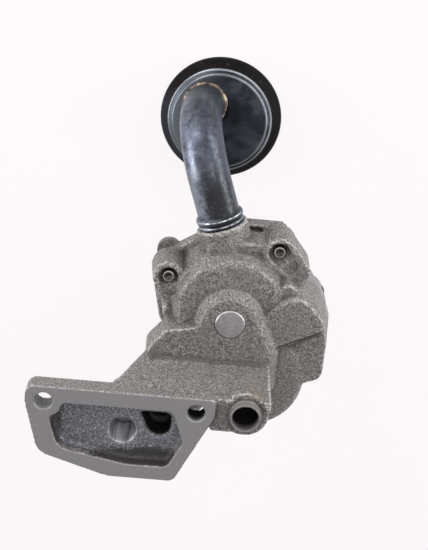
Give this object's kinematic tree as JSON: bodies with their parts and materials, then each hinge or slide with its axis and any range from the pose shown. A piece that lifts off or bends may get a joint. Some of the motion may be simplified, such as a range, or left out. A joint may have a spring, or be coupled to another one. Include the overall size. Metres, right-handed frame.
{
  "type": "engine oil pump",
  "caption": "Gear-type engine oil pump with a cast housing on a bolted side flange, a drive tower, a flat cover and a bent pickup tube ending in a round strainer.",
  "frame": {"origin": "drive shaft axis in the plane of the mounting face", "axes": "+X along the line of the two mounting bolts towards the drive tower, +Z out of the mounting face into the engine block, gears and strainer below"},
  "size_m": [0.1563, 0.1949, 0.1248],
  "materials": {
    "cast_iron": "sand-cast grey iron, bare",
    "cover_iron": "cast iron cover, ground joint face",
    "gasket": "oiled gasket paper",
    "screws": "dark phosphated screws",
    "ground_steel": "ground shaft steel",
    "gear_steel": "machined gear steel",
    "spring_steel": "bright spring steel",
    "tube_steel": "drawn steel tube with a blue-grey plated finish",
    "braze": "copper braze",
    "dish_steel": "pressed steel, dark blue-grey plated finish",
    "screen_steel": "perforated sheet steel"
  },
  "bodies": {
    "housing": {"pump_body": "cast_iron", "pump_cover": "cover_iron", "cover_gasket": "gasket", "cover_screws_long": "screws", "cover_screws_short": "screws", "idler_shaft": "ground_steel", "relief_spring": "spring_steel", "relief_cap": "spring_steel", "relief_cotter": "spring_steel", "pickup_tube": "tube_steel", "tube_collar": "braze", "strainer_dish": "dish_steel", "strainer_screen": "screen_steel", "screen_retainer": "spring_steel"},
    "drive": {"drive_shaft": "ground_steel", "drive_gear": "gear_steel", "gear_key": "gear_steel"},
    "idler": {"idler_gear": "gear_steel"},
    "relief": {"relief_piston": "ground_steel"}
  },
  "joints": [
    {"name": "drive_spin", "type": "hinge", "parent": "housing", "child": "drive", "pos_m": [0, 0, -0.06], "axis": [0, 0, 1], "continuous": true},
    {"name": "idler_spin", "type": "hinge", "parent": "housing", "child": "idler", "pos_m": [-0.01062, 0.03388, -0.06], "axis": [0, 0, 1], "continuous": true},
    {"name": "relief_slide", "type": "slide", "parent": "housing", "child": "relief", "axis": [0, 0, -1], "range_m": [0, 0.005], "stiffness_N_per_m": 6000, "springref_m": -0.006, "deforming": ["relief_spring"]}
  ],
  "couplings": [
    {"joint": "idler_spin", "follows": "drive_spin", "ratio": -1}
  ]
}
